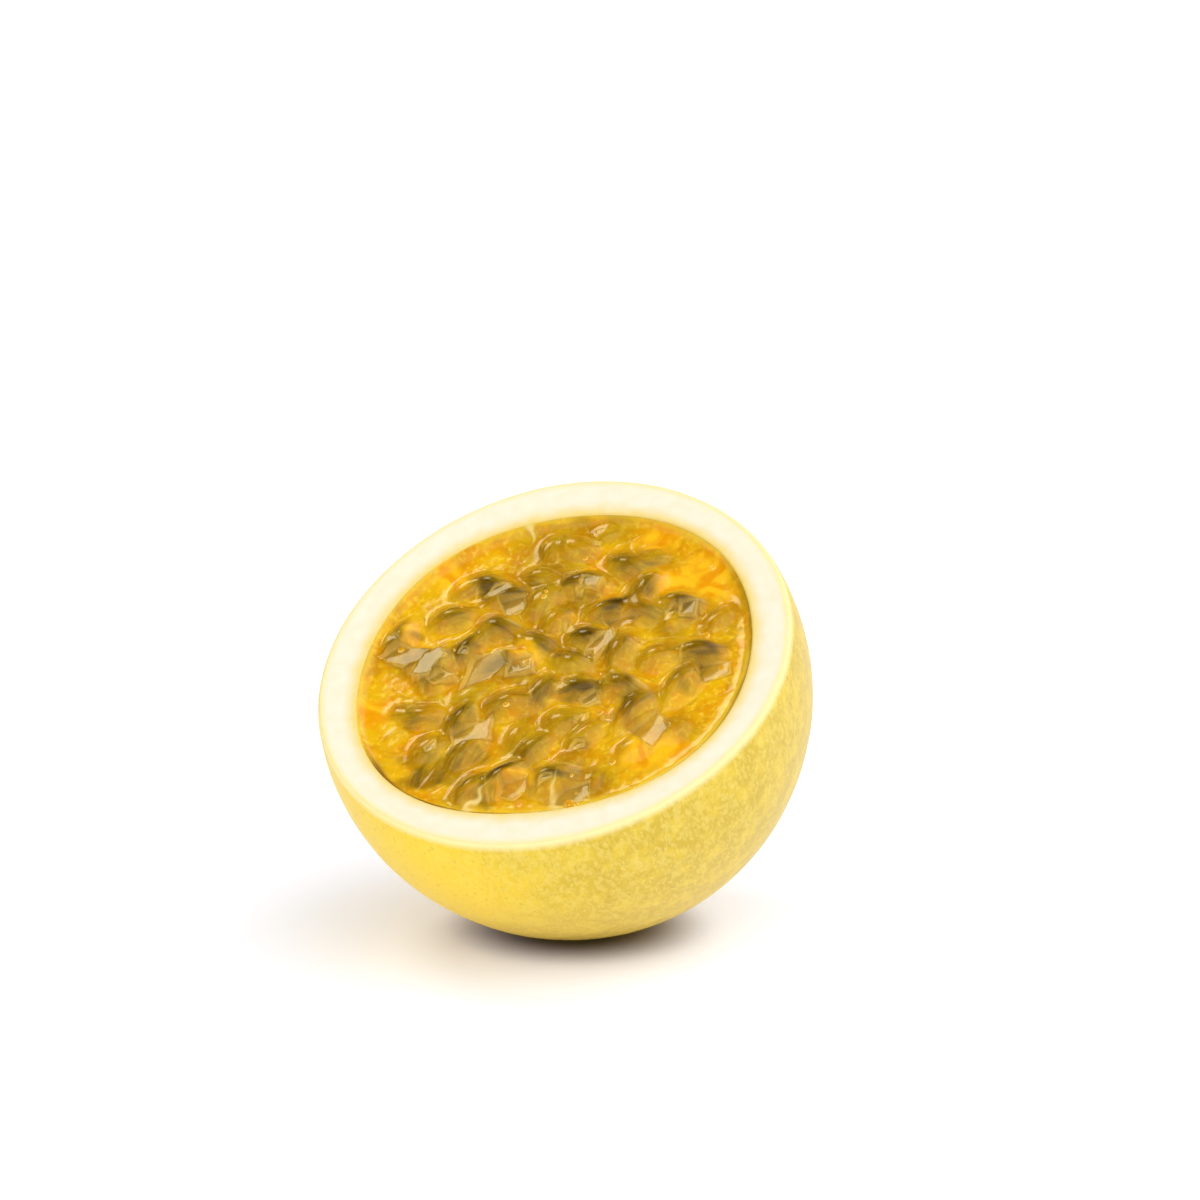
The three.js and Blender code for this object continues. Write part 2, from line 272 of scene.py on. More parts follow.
# Turns a profile round +Z, takes it out of round, lays it down and presses it flat on the floor
def turningRule(skin, pith):
    tree, given = newRule("turned rind", {
        "Turns": ("NodeSocketInt", 100),
        "Unevenness": ("NodeSocketFloat", 0.0),
        "Uneven Size": ("NodeSocketFloat", 0.01),
        "Cut Unevenness": ("NodeSocketFloat", 0.0),
    })
    profile, turns = given["Geometry"], given["Turns"]
    # a grid with a row for each point of the profile and a column for each turn, and one more to close it
    count = addNode(tree, "GeometryNodeAttributeDomainSize", inputs=(profile,)).outputs["Point Count"]
    columns = addNode(tree, maths, "ADD", (turns, 1))
    grid = addNode(tree, "GeometryNodeMeshGrid", inputs={"Vertices X": count, "Vertices Y": columns})
    index = addNode(tree, "GeometryNodeInputIndex")
    share = addNode(tree, maths, "DIVIDE", (index, columns))
    row = addNode(tree, maths, "FLOOR", (share,))
    angle = index
    for operation, other in (("MODULO", columns), ("DIVIDE", turns), ("MULTIPLY", 2 * math.pi)):
        angle = addNode(tree, maths, operation, (angle, other))
    place = addNode(tree, "GeometryNodeInputPosition")
    skinShare, fromEdge = [addNode(tree, "GeometryNodeInputNamedAttribute", floats, {"Name": label})
                           for label in ("skin", "fromEdge")]
    sampled = []
    for kind, source in (("FLOAT_VECTOR", place), ("FLOAT", skinShare), ("FLOAT", fromEdge)):
        sampled.append(addNode(tree, "GeometryNodeSampleIndex", {"data_type": kind},
                               {"Geometry": profile, "Value": source, "Index": row}))
    factors = []
    for label, radius in (("hollowWaves", hollowRadius), ("skinWaves", fruit["cutRadius"])):
        total = 1.0
        for n, height, crest in fruit[label]:
            swing = angle
            for operation, other in (("MULTIPLY", n), ("SUBTRACT", math.radians(crest)), ("COSINE", 0.0),
                                     ("MULTIPLY", height / radius), ("ADD", total)):
                swing = addNode(tree, maths, operation, (swing, other))
            total = swing
        factors.append(total)
    factor = addNode(tree, "ShaderNodeMix", floats, {0: sampled[1], 2: factors[0], 3: factors[1]})
    parts = addNode(tree, "ShaderNodeSeparateXYZ", inputs={0: sampled[0]}).outputs
    out = addNode(tree, maths, "MULTIPLY", (parts[0], factor))
    corner = {2: parts[2]}
    for k, operation in enumerate(("COSINE", "SINE")):
        swing = addNode(tree, maths, operation, (angle,))
        corner[k] = addNode(tree, maths, "MULTIPLY", (out, swing))
    turned = addNode(tree, "ShaderNodeCombineXYZ", inputs=corner)
    # how far each point strays from the turned place
    scale = addNode(tree, maths, "DIVIDE", (1.0, given["Uneven Size"]))
    clouds = addNode(tree, "ShaderNodeTexNoise", inputs={"Vector": place, "Scale": scale, "Detail": 3.0})
    low, high = rindLook["onCut"]
    onCut = addNode(tree, "ShaderNodeMapRange", smooth, (fromEdge, low, high))
    depth = addNode(tree, "ShaderNodeMix", floats,
                    {0: onCut, 2: given["Unevenness"], 3: given["Cut Unevenness"]})
    away = addNode(tree, maths, "SUBTRACT", (clouds, 0.5))
    away = addNode(tree, maths, "MULTIPLY", (away, depth))
    normal = addNode(tree, "GeometryNodeInputNormal")
    offset = addNode(tree, "ShaderNodeVectorMath", "SCALE", {0: normal, "Scale": away})
    # the skin never goes under the floor
    parts = addNode(tree, "ShaderNodeSeparateXYZ", inputs=(place,)).outputs
    height = addNode(tree, maths, "MAXIMUM", (parts[2], 0.0))
    pressed = addNode(tree, "ShaderNodeCombineXYZ", inputs=(parts[0], parts[1], height))
    isPith = addNode(tree, "FunctionNodeCompare", {"data_type": "FLOAT", "operation": "GREATER_THAN"},
                     {0: fromEdge, 1: 0.0})
    shape = grid
    for kind, settings, inputs in (
            ("GeometryNodeSetPosition", {}, {"Position": turned}),
            ("GeometryNodeStoreNamedAttribute", floats, {"Name": "fromEdge", "Value": sampled[2]}),
            ("GeometryNodeMergeByDistance", {}, {"Distance": 1e-6}),
            ("GeometryNodeFlipFaces", {}, {}),
            ("GeometryNodeSetPosition", {}, {"Offset": offset}),
            ("GeometryNodeTransform", {}, laidDown),
            ("GeometryNodeSetPosition", {}, {"Position": pressed}),
            ("GeometryNodeSetShadeSmooth", {}, {}),
            ("GeometryNodeRealizeInstances", {}, {}),
            ("GeometryNodeSetMaterial", {}, {"Material": skin}),
            ("GeometryNodeSetMaterial", {}, {"Material": pith, "Selection": isPith}),
            ("NodeGroupOutput", {}, {})):
        shape = addNode(tree, kind, settings, {0: shape, **inputs})
    return tree


# A new material with its shader. Returns the material, its tree and the shader.
def newMaterial(name, settings):
    material = bpy.data.materials.new(name)
    material.use_nodes = True
    tree = material.node_tree
    tree.nodes.clear()
    shader = addNode(tree, "ShaderNodeBsdfPrincipled", inputs=settings)
    addNode(tree, "ShaderNodeOutputMaterial", inputs={"Surface": shader})
    return material, tree, shader


# The fruit's own place of a point of the surface, in millimetres, stretched along its axis by a factor
def fruitPlace(tree, stretch=1.0):
    return addNode(tree, "ShaderNodeMapping", {"vector_type": "TEXTURE"}, {
        "Vector": addNode(tree, "ShaderNodeTexCoord").outputs["Object"],
        "Location": tuple(lying.translation),
        "Rotation": (fruit["tip"], 0.0, 0.0),
        "Scale": (mm, mm, mm * stretch),
    })


# Passion fruit skin, waxed by nature and grown: a saturated yellow under a dense scatter of pale corky
# flecks, drawn out from stalk to blossom, more of them on the +X side, and there a greener, darker ground
# that is partly its own colour and partly painted shade. Painted shade also darkens it low down. A soft wax
# gloss.
def makeSkin():
    material, tree, shader = newMaterial("waxy passion fruit skin", {"Roughness": 0.42, "IOR": 1.45})
    place = fruitPlace(tree)
    long = fruitPlace(tree, 1.7)
    noises = addNodes(tree, "ShaderNodeTexNoise", {}, noiseInputs, (
        ("clouds", place, 1 / 16, 3.0),
        ("blotches", place, 1 / 3.2, 4.0),
        ("ragged", long, 1.3, 3.0),
        ("mottling", long, 1 / 0.75, 4.0, 0.5),
        ("specks", long, 1 / 0.5, 3.0),
        ("peel", place, 1 / 0.9, 3.0)))
    parts = addNode(tree, "ShaderNodeSeparateXYZ", inputs=(place,)).outputs
    side = addNode(tree, maths, "MULTIPLY_ADD", (noises["clouds"], 34.0, parts[0]))
    # painted shade low on the skin: darker and more olive towards the floor, in streaks
    height = addNode(tree, "ShaderNodeSeparateXYZ", inputs={
        0: addNode(tree, "ShaderNodeTexCoord").outputs["Object"]}).outputs[2]
    underShadeHeight = addNode(tree, maths, "MULTIPLY_ADD", (noises["mottling"], 5 * mm, height))
    fromEdge = addNode(tree, "ShaderNodeAttribute", {"attribute_name": "fromEdge"}).outputs["Fac"]
    flat = addNode(tree, "ShaderNodeCombineXYZ", inputs=(parts[0], parts[1]))
    radius = addNode(tree, "ShaderNodeVectorMath", "LENGTH", (flat,)).outputs["Value"]
    ramps = addNodes(tree, "ShaderNodeMapRange", smooth, rampInputs, (
        # the greener ground of the +X side, partly painted shade there
        ("dullAndShadedSide", side, 4.0, 38.0),
        ("density", side, -6.0, 30.0, 0.45, 0.85),
        ("show", side, -4.0, 34.0, 0.38, 0.66),
        ("blotches", noises["blotches"], 0.42, 0.68, 0.0, 0.4),
        ("mottling", noises["mottling"], 0.46, 0.64, 0.0, 0.8),
        # painted shade: full close to the floor, gone by 9 mm up
        ("low", underShadeHeight, 9 * mm, 3 * mm, 0.0, 0.55),
        ("specks", noises["specks"], 0.56, 0.74, 0.0, 0.28),
        ("nearCut", fromEdge, -1.5, -0.1, 0.0, 0.8),
        ("stub", radius, 1.9, 1.2)))
    # the flecks: pale spots of two sizes with ragged edges, over a fine mottling that runs into them
    bent = addNode(tree, "ShaderNodeVectorMath", "MULTIPLY_ADD",
                   (noises["ragged"].outputs[1], (2.2, 2.2, 2.2), long))
    flecks = ramps["mottling"]
    for spacing, share in ((1.6, 0.34), (0.8, 0.36)):
        cells = addNode(tree, "ShaderNodeTexVoronoi", inputs={"Vector": bent, "Scale": 1 / spacing}).outputs
        chance = addNode(tree, "ShaderNodeSeparateXYZ", inputs={0: cells["Color"]}).outputs
        there = addNode(tree, maths, "LESS_THAN", (chance[0], ramps["density"]))
        size = addNode(tree, maths, "MULTIPLY_ADD", (chance[1], share * 0.75, share * 0.42))
        near = addNode(tree, maths, "SUBTRACT", (size, cells["Distance"]))
        near = addNode(tree, "ShaderNodeMapRange", smooth, (near, -0.24, 0.20))
        spot = addNode(tree, maths, "MULTIPLY", (near, there))
        flecks = addNode(tree, maths, "MAXIMUM", (spot, flecks))
    strength = addNode(tree, maths, "MULTIPLY", (flecks, ramps["show"]))
    atEnd = addNode(tree, maths, "LESS_THAN", (parts[2], -30.0))
    dried = addNode(tree, maths, "MULTIPLY", (ramps["stub"], atEnd))
    fleck = addNode(tree, "ShaderNodeMix", rgba, {0: ramps["dullAndShadedSide"], 6: "#f9db52", 7: "#ead062"}).outputs[2]
    # layers of colour, each over those before it by its share
    colour = "#f9d01a"
    for share, layer in (
            # greener, darker ground on the +X side: partly its own colour, partly painted shade
            (ramps["dullAndShadedSide"], "#d2af28"),
            (ramps["blotches"], "#f8d636"),
            (strength, fleck),
            # painted shade low on the skin, over its olive underside
            (ramps["low"], "#b0941c"),
            (ramps["specks"], "#b08c22"),
            (ramps["nearCut"], "#fbeeb0"),
            (dried, "#6b4a26")):
        colour = addNode(tree, "ShaderNodeMix", rgba, {0: share, 6: colour, 7: layer}).outputs[2]
    # wax gloss, a little broken over the flecks, and a fine dimpled skin
    rough = addNode(tree, maths, "MULTIPLY_ADD", (flecks, 0.14, 0.36))
    relief = addNode(tree, maths, "MULTIPLY_ADD", (flecks, 0.35, noises["peel"]))
    bump = addNode(tree, "ShaderNodeBump", inputs={"Height": relief, "Strength": 0.22, "Distance": 0.12 * mm})
    feed(tree, shader, {"Base Color": colour, "Roughness": rough, "Normal": bump})
    return material


# Passion fruit pith, cut with a sharp knife: spongy and moist, nearly white, with light soaking in under
# its face, a thin line of coloured skin round it and a stain of juice along the hollow.
def makePith():
    material, tree, shader = newMaterial("cut passion fruit pith", {
        "Roughness": 0.5,
        "IOR": 1.36,
        "Subsurface Weight": 0.35,
        "Subsurface Radius": (1.0, 0.8, 0.45),
        "Subsurface Scale": 1.6 * mm,
    })
    place = fruitPlace(tree)
    fromEdge = addNode(tree, "ShaderNodeAttribute", {"attribute_name": "fromEdge"}).outputs["Fac"]
    clouds = addNode(tree, "ShaderNodeTexNoise", inputs={"Vector": place, "Scale": 1 / 2.4, "Detail": 4.0})
    wander = addNode(tree, maths, "MULTIPLY_ADD", (clouds, 0.9, fromEdge))
    hollow = fruit["rindAtCut"]
    colour = "#efe8d2"
    for value, low, high, layer in (
            (clouds, 0.35, 0.7, "#ece4c8"),
            (wander, 1.7, 0.1, "#f3df92"),
            (wander, hollow - 2.4, hollow + 0.7, "#f0cc5c")):
        share = addNode(tree, "ShaderNodeMapRange", smooth, (value, low, high))
        colour = addNode(tree, "ShaderNodeMix", rgba, {0: share, 6: colour, 7: layer}).outputs[2]
    grain = addNode(tree, "ShaderNodeTexNoise", inputs={"Vector": place, "Scale": 1 / 0.5, "Detail": 4.0})
    bump = addNode(tree, "ShaderNodeBump", inputs={"Height": grain, "Strength": 0.25, "Distance": 0.1 * mm})
    feed(tree, shader, {"Base Color": colour, "Normal": bump})
    return material


def makeRind():
    rows, way = rindProfile()
    points = np.c_[rows[:, 0], np.zeros(len(rows)), rows[:, 1]] * mm
    edges = [(i, i + 1) for i in range(len(rows) - 1)]
    values = {"skin": ("FLOAT", rows[:, 2]), "fromEdge": ("FLOAT", way)}
    mesh = startMesh("rindProfile", points, edges, values=values)
    tree = turningRule(makeSkin(), makePith())
    piece = growPiece("rindSkinAndPith", mesh, tree, {
        "Turns": rindLook["turns"],
        "Unevenness": rindLook["unevenness"] * mm,
        "Uneven Size": rindLook["unevenSize"] * mm,
        "Cut Unevenness": rindLook["cutUnevenness"] * mm,
    })
    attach(piece, "root")
    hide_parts("rind")
    return piece


rind = makeRind()
print("rind:", len(rind.data.polygons), "faces")

# The pulp: juice sacs run together, laid out by the same draws as the solid's
pulpLook = {
    "valley": -1.5,           # lowest level between the sacs
    "crown": 0.4,             # how much higher the middle stands than the rim of the pulp
    "brimLevel": -0.2,        # where the juice meets the pith
    "brimReach": 0.9,
    "sacCount": 54,
    "sacLayout": 178796,      # the random draws that every sac's place and size come from
    "sacStandoff": 3.6,
    "sacStray": 0.8,
    "sacTurn": 0.15,
    "sacHeading": (math.radians(-15), math.radians(95)),
    "sacHalfLength": (4.2, 5.3),
    "sacHalfWidth": (2.9, 3.7),
    "sacTop": (-0.9, 0.2),
    "sacDrop": 2.2,           # how far a sac falls away at its half length or half width
    "sacBlend": 0.26,
    "seedHalf": (2.95, 2.15, 1.3),
    "seedPoint": 0.26,        # how much narrower a seed is at its pointed end
    "seedLift": (-1.5, -0.5),
    "seedPitch": math.radians(18),
    "seedRoll": math.radians(30),
    "seedStandoff": 3.4,
    "seedShown": -1.15,       # a seed that lies deeper than this stays under its sac
    "filmBlend": 0.7,         # how softly the jelly is drawn over a seed
    "gridSize": 300,
    "wallRows": 5,
    "wallGap": (0.2, 0.3),    # between the pulp and the rind, beside it and under it
    "brimOverlap": 0.06,      # how far the rim of the pulp runs into the rind
    "facetCount": 17,
    "facetLayout": 3145,      # the random draws of their sizes, places and corners
    "glintCount": 16,         # tiny facets besides
    "facetReach": (0.9, 2.3),
    "glintReach": (0.3, 0.6),
    "facetStray": 0.4,        # how far a facet and a glint may be from their places
    "glintStray": 2.0,
    "facetHaze": (0.42, 0.7),
    "glintHaze": 0.14,
    "facetHeading": (math.radians(20), math.radians(35)),      # mean and spread
    "facetStretch": (1.1, 2.1),
    "facetAside": (1.65, -1.15),       # where a facet is from its seed, for each mm of its reach
    "facetLean": math.radians(10),     # their common lean off the cut, and which way round the axis
    "facetWay": math.radians(180),
    "facetTilt": math.radians(1.6),    # how far each strays from that
    "facetSink": 0.25,        # how deep a facet cuts into the jelly at its middle
    "facetLip": 1.8,          # how far a facet may stand over the jelly beside it
    "facetWaver": 0.10,       # how far its edge strays from straight
    "facetEdge": (-0.08, 0.14),
    "ripple": 0.035,
    "fold": 0.06,             # height of the folds of skin between the sacs
    "deepSeeds": 40,          # seeds further down, which show as pale clouds
    "deepHalf": (3.2, 2.0),
    "cloudLayout": 33,        # the random draws of the clouds
    "warp": 0.8,              # how far the clouds under the jelly are drawn about
    "shallowWay": math.radians(-45),   # where the juice thins out over the pith
    # the way round, spread and depth of the shade along the wall
    "shades": [(math.radians(-108), math.radians(34), 0.9), (math.radians(14), math.radians(40), 0.45)],
    # the way round, reach, half width and bend of each pale strand
    "strands": [(math.radians(-69), 8.0, 0.6, 1.2), (math.radians(-96), 7.0, 0.6, 3.2),
                (math.radians(118), 3.5, 0.5, 0.8)],
    "strandStrength": 0.75,
    # x, y, size and depth of the murky places, where more seeds lie close under the surface
    "murk": [(-9, -20, 7.0, 0.85), (-2, -24, 3.0, 0.6), (-23, -1, 3.2, 0.7), (0, 11, 3.6, 0.7),
             (-5, 24, 3.0, 0.6)],
    # x, y and size of the clear orange pools
    "pools": [(16, 18, 6.5), (20.5, -13, 5.0), (-23, -12, 3.6), (-21.5, 1, 3.4), (-4.5, 1, 2.2),
              (3, -22.5, 3.2), (-21.5, 13.5, 3.2), (7, 24, 3.0)],
}


# Seeded random numbers from 0 to 1, the same draws as the solid's
def randomFrom(seed):
    state = seed
    while True:
        state = (state + 0x6D2B79F5) & 0xFFFFFFFF
        t = ((state ^ (state >> 15)) * (state | 1)) & 0xFFFFFFFF
        t ^= (t + (((t ^ (t >> 7)) * (t | 61)) & 0xFFFFFFFF)) & 0xFFFFFFFF
        yield (t ^ (t >> 14)) / 4294967296


def makeSacs():
    look = pulpLook
    draw = randomFrom(look["sacLayout"])

    def between(low, high):
        return low + next(draw) * (high - low)

    golden = math.radians(137.508)
    reach = hollowRadius - look["sacStandoff"]
    sacs = []
    for i in range(look["sacCount"]):
        radius = reach * math.sqrt((i + 0.5) / look["sacCount"])
        radius += between(-look["sacStray"], look["sacStray"])
        angle = i * golden + between(-look["sacTurn"], look["sacTurn"])
        sacs.append({
            "x": radius * math.cos(angle),
            "y": radius * math.sin(angle),
            "heading": between(*look["sacHeading"]) + (math.pi if next(draw) < 0.5 else 0),
            "halfLength": between(*look["sacHalfLength"]),
            "halfWidth": between(*look["sacHalfWidth"]),
            "top": between(*look["sacTop"]),
            "seedLift": between(*look["seedLift"]),
            "seedPitch": between(-look["seedPitch"], look["seedPitch"]),
            "seedRoll": between(-look["seedRoll"], look["seedRoll"]),
        })
    return sacs


# Places along and across a sac's heading
def alongAcross(sac, x, y):
    dx, dy = x - sac["x"], y - sac["y"]
    c, s = math.cos(sac["heading"]), math.sin(sac["heading"])
    return dx * c + dy * s, dy * c - dx * s


# Level of one sac's dome over points of the cut
def sacDome(sac, x, y):
    u, v = alongAcross(sac, x, y)
    return sac["top"] - pulpLook["sacDrop"] * ((u / sac["halfLength"]) ** 2 + (v / sac["halfWidth"]) ** 2)


# Level of the juice sacs over points of the cut
def sacLevel(sacs, x, y):
    look = pulpLook
    edge = hollowRadius * wave(fruit["hollowWaves"], np.arctan2(y, x), hollowRadius)
    reach = np.minimum(1, np.hypot(x, y) / edge)
    total = np.full(np.shape(x), math.exp(look["valley"] / look["sacBlend"]))
    for sac in sacs:
        total = total + np.exp(sacDome(sac, x, y) / look["sacBlend"])
    level = look["sacBlend"] * np.log(total) + look["crown"] * (1 - reach ** 2)
    brim = np.exp(-(1 - reach) * edge / look["brimReach"])
    return level + (look["brimLevel"] - level) * brim


# Level of the jelly that is drawn over a seed, and how far out of the seed's outline each point is (1 on it)
def seedTop(sac, x, y):
    a, b, c = pulpLook["seedHalf"]
    u, v = alongAcross(sac, x, y)
    narrow = 1 - pulpLook["seedPoint"] * (np.clip(u / a, -1, 1) + 1) * 0.5
    out = np.hypot(u / (a * math.cos(sac["seedPitch"])), v / (b * narrow * math.cos(sac["seedRoll"])))
    lean = v * math.tan(sac["seedRoll"]) - u * math.tan(sac["seedPitch"])
    return sac["seedAt"] + lean + c * narrow * (1 - out ** 2), out


def softMax(a, b, blend):
    return blend * np.logaddexp(a / blend, b / blend)


def smoothStep(low, high, value):
    t = np.clip((value - low) / (high - low), 0, 1)
    return t * t * (3 - 2 * t)


# Smooth random field from -1 to 1 with features of the given size
def cloudField(x, y, size, seed):
    grid = np.random.default_rng(seed).uniform(-1, 1, (64, 64))
    u, v = x / size + 32, y / size + 32
    i, j = np.floor(u).astype(int), np.floor(v).astype(int)
    fu, fv = smoothStep(0, 1, u - i), smoothStep(0, 1, v - j)
    i, nextI, j, nextJ = i % 64, (i + 1) % 64, j % 64, (j + 1) % 64
    low = grid[i, j] * (1 - fu) + grid[nextI, j] * fu
    high = grid[i, nextJ] * (1 - fu) + grid[nextI, nextJ] * fu
    return low * (1 - fv) + high * fv


sacs = makeSacs()
for sac in sacs:
    place = np.array([sac["x"]]), np.array([sac["y"]])
    sac["seedAt"] = float(sacLevel(sacs, *place)[0]) + sac["seedLift"]
    inside = math.hypot(sac["x"], sac["y"]) < hollowRadius - pulpLook["seedStandoff"]
    sac["shown"] = inside and sac["seedLift"] > pulpLook["seedShown"]
print("seeds:", sum(s["shown"] for s in sacs), "raised")


# Flat glassy facets where the knife and the stretched sacs leave the jelly level: each is a small polygon
def makeFacets():
    look = pulpLook
    draw = np.random.default_rng(look["facetLayout"])
    facets = []
    lean = math.tan(look["facetLean"]) * np.array([math.cos(look["facetWay"]), math.sin(look["facetWay"])])
    inside = [sac for sac in sacs if math.hypot(sac["x"], sac["y"]) < hollowRadius - look["seedStandoff"]]
    nearest = sorted(inside, key=lambda sac: -sac["seedLift"])[:look["facetCount"]]
    others = [inside[k] for k in draw.permutation(len(inside))[:look["glintCount"]]]
    for k, sac in enumerate(nearest + others):
        corners = int(draw.integers(4, 6))
        low, high = look["facetReach"]
        isGlint = k >= look["facetCount"]
        size = draw.uniform(*look["glintReach"]) if isGlint else low + (high - low) * draw.random() ** 1.4
        stray = look["glintStray"] if isGlint else look["facetStray"]
        facets.append({
            "x": sac["x"] + look["facetAside"][0] * size + draw.normal(0, stray),
            "y": sac["y"] + look["facetAside"][1] * size + draw.normal(0, stray),
            "haze": look["glintHaze"] if isGlint else draw.uniform(*look["facetHaze"]),
            "heading": draw.normal(*look["facetHeading"]),
            "turns": (np.arange(corners) + draw.uniform(-0.25, 0.25, corners)) / corners * 2 * math.pi,
            "reach": size * draw.uniform(0.75, 1.2, corners),
            "stretch": draw.uniform(*look["facetStretch"]),
            "tilt": draw.normal(0, math.tan(look["facetTilt"]), 2) - lean,
        })
    return facets


# Level of the jelly over points of the cut: the sacs, the jelly drawn over the seeds, then the facets. Also
# gives how far each point is on a facet, the haze under it, and the painted highlight line and painted shadow
# line along its edge.
def jellyLevel(x, y, facets=()):
    look = pulpLook
    level = sacLevel(sacs, x, y)
    flatness, haze, light, dark = np.zeros((4, *np.shape(x)))
    for sac in sacs:
        if sac["shown"]:
            top, out = seedTop(sac, x, y)
            level = np.where(out < 3, softMax(level, top, look["filmBlend"]), level)
    for facet in facets:
        here = np.array([facet["x"]]), np.array([facet["y"]])
        middle = float(jellyLevel(*here)[0][0]) - look["facetSink"]
        dx, dy = x - facet["x"], y - facet["y"]
        c, s = math.cos(facet["heading"]), math.sin(facet["heading"])
        u, v = (dx * c + dy * s) / facet["stretch"], dy * c - dx * s
        u = u + look["facetWaver"] * cloudField(x, y, 0.8, 5)
        v = v + look["facetWaver"] * cloudField(x, y, 0.8, 6)
        inside = np.full(np.shape(x), 99.0)
        for turn, reach in zip(facet["turns"], facet["reach"]):
            inside = np.minimum(inside, reach - u * math.cos(turn) - v * math.sin(turn))
        plane = middle + facet["tilt"][0] * dx + facet["tilt"][1] * dy
        flat = plane + np.minimum(0, level - plane + look["facetLip"])
        share = smoothStep(*look["facetEdge"], inside)
        level = level + (flat - level) * share
        flatness = np.maximum(flatness, share)
        haze = np.maximum(haze, share * facet["haze"])
        # a painted highlight just inside each facet's edge, and a painted shadow just outside it
        light = np.maximum(light * (1 - share), np.exp(-((inside - 0.06) / 0.10) ** 2))
        dark = np.maximum(dark * (1 - share), np.exp(-((inside + 0.18) / 0.12) ** 2))
    return level, flatness, haze, light, dark


# The clouds under the jelly over points of the cut, from 0 to 1: an olive haze round each seed, and the
# dark heart of the seeds that lie near the surface
def makeClouds(x, y):
    look = pulpLook
    warp = look["warp"]
    u = x + warp * cloudField(x, y, 2.4, 41) + 0.3 * warp * cloudField(x, y, 0.8, 42)
    v = y + warp * cloudField(x, y, 2.4, 43) + 0.3 * warp * cloudField(x, y, 0.8, 44)
    draw = np.random.default_rng(look["cloudLayout"])
    clear, bright = np.ones(np.shape(x)), np.ones(np.shape(x))
    for sac in sacs:
        near = smoothStep(*look["seedLift"], sac["seedLift"]) * sac["shown"]
        out = seedTop(sac, u, v)[1]
        clear = clear * (1 - (0.6 + 0.4 * near) * (1 - smoothStep(0.5, 1.9, out)))
        aside = draw.normal(0, 0.5, 2)
        out = seedTop(sac, u + aside[0], v + aside[1])[1]
        bright = bright * (1 - near ** 1.5 * (1 - smoothStep(0.1, 1.15, out)))
    for _ in range(look["deepSeeds"]):
        radius = (hollowRadius - 3) * math.sqrt(draw.random())
        angle = draw.random() * 2 * math.pi
        place = {"x": radius * math.cos(angle), "y": radius * math.sin(angle)}
        along, across = alongAcross({**place, "heading": draw.random() * math.pi}, u, v)
        depth = 0.5 * draw.random()
        out = np.hypot(along / look["deepHalf"][0], across / look["deepHalf"][1])
        clear = clear * (1 - depth * (1 - smoothStep(0.5, 1.6, out)))
    return 1 - clear, 1 - bright


# Passion fruit jelly, wet and clear over orange juice: amber with an olive cast where a seed lies under it,
# a wet gloss, and light that sinks in and glows. The haze and hearts of the seeds, the pools, the seams
# between sacs and the direction of their fibres are worked out point by point.
def makeJelly():
    material, tree, shader = newMaterial("wet passion fruit jelly", {
        "Roughness": 0.15,
        "IOR": 1.42,
        "Subsurface Weight": 0.2,
        "Subsurface Radius": (1.0, 0.8, 0.25),
        "Subsurface Scale": 0.9 * mm,
        "Specular Tint": (1.0, 0.84, 0.52, 1.0),
    })
    place = fruitPlace(tree)
    told = {}
    for label in ("haze", "heart", "seam", "pool", "shallow", "facet", "shade", "strand"):
        told[label] = addNode(tree, "ShaderNodeAttribute", {"attribute_name": label}).outputs["Fac"]
    drawnOut = addNode(tree, "ShaderNodeAttribute", {"attribute_name": "fibre"}).outputs["Vector"]
    noises = addNodes(tree, "ShaderNodeTexNoise", {}, noiseInputs, (
        ("clouds", place, 1 / 3.4, 4.0),
        ("fine", place, 1 / 0.8, 3.0),
        ("swirls", place, 1 / 4.0, 3.0, 1.2),
        ("fibres", drawnOut, 1.0, 3.0, 0.6)))
    ramps = addNodes(tree, "ShaderNodeMapRange", smooth, rampInputs, (
        ("clouds", noises["clouds"], 0.36, 0.64),
        ("fine", noises["fine"], 0.48, 0.72, 0.0, 0.65),
        ("swirls", noises["swirls"], 0.38, 0.62),
        ("fibres", noises["fibres"], 0.46, 0.70, 0.0, 0.5),
        ("outOfPool", told["pool"], 0.0, 0.8, 1.0, 0.1),
        ("hazeThins", noises["fibres"], 0.3, 0.65, 1.0, 0.5),
        ("heartThins", noises["fibres"], 0.3, 0.7, 1.0, 0.8)))
    fibres = addNode(tree, maths, "MULTIPLY", (ramps["fibres"], ramps["outOfPool"]))
    haze = addNode(tree, maths, "MULTIPLY", (told["haze"], ramps["hazeThins"]))
    heart = addNode(tree, maths, "MULTIPLY", (told["heart"], ramps["heartThins"]))
    clear = addNode(tree, "ShaderNodeMix", rgba, {0: ramps["swirls"], 6: "#e89a02", 7: "#f9bf1c"}).outputs[2]
    # layers of colour, each over those before it by its share
    gel = "#de9600"
    for share, layer in (
            (ramps["clouds"], "#e4b00c"),
            (ramps["fine"], "#f8d038"),
            (told["pool"], clear),
            (fibres, "#b5871a"),
            (told["shallow"], "#f8d23c"),
            (haze, "#7a600e"),
            # dark seed hearts, with a painted shadow line outside each facet's edge
            (heart, "#4a3200"),
            (told["facet"], "#9a7e3a"),
            # pale seams between the sacs, with a painted highlight line inside each facet's edge
            (told["seam"], "#ecc35a"),
            (told["shade"], "#6b4403"),
            (told["strand"], "#f4da8a")):
        gel = addNode(tree, "ShaderNodeMix", rgba, {0: share, 6: gel, 7: layer}).outputs[2]
    bump = addNode(tree, "ShaderNodeBump",
                   inputs={"Height": noises["fine"], "Strength": 0.10, "Distance": 0.08 * mm})
    feed(tree, shader, {"Base Color": gel, "Normal": bump})
    return material


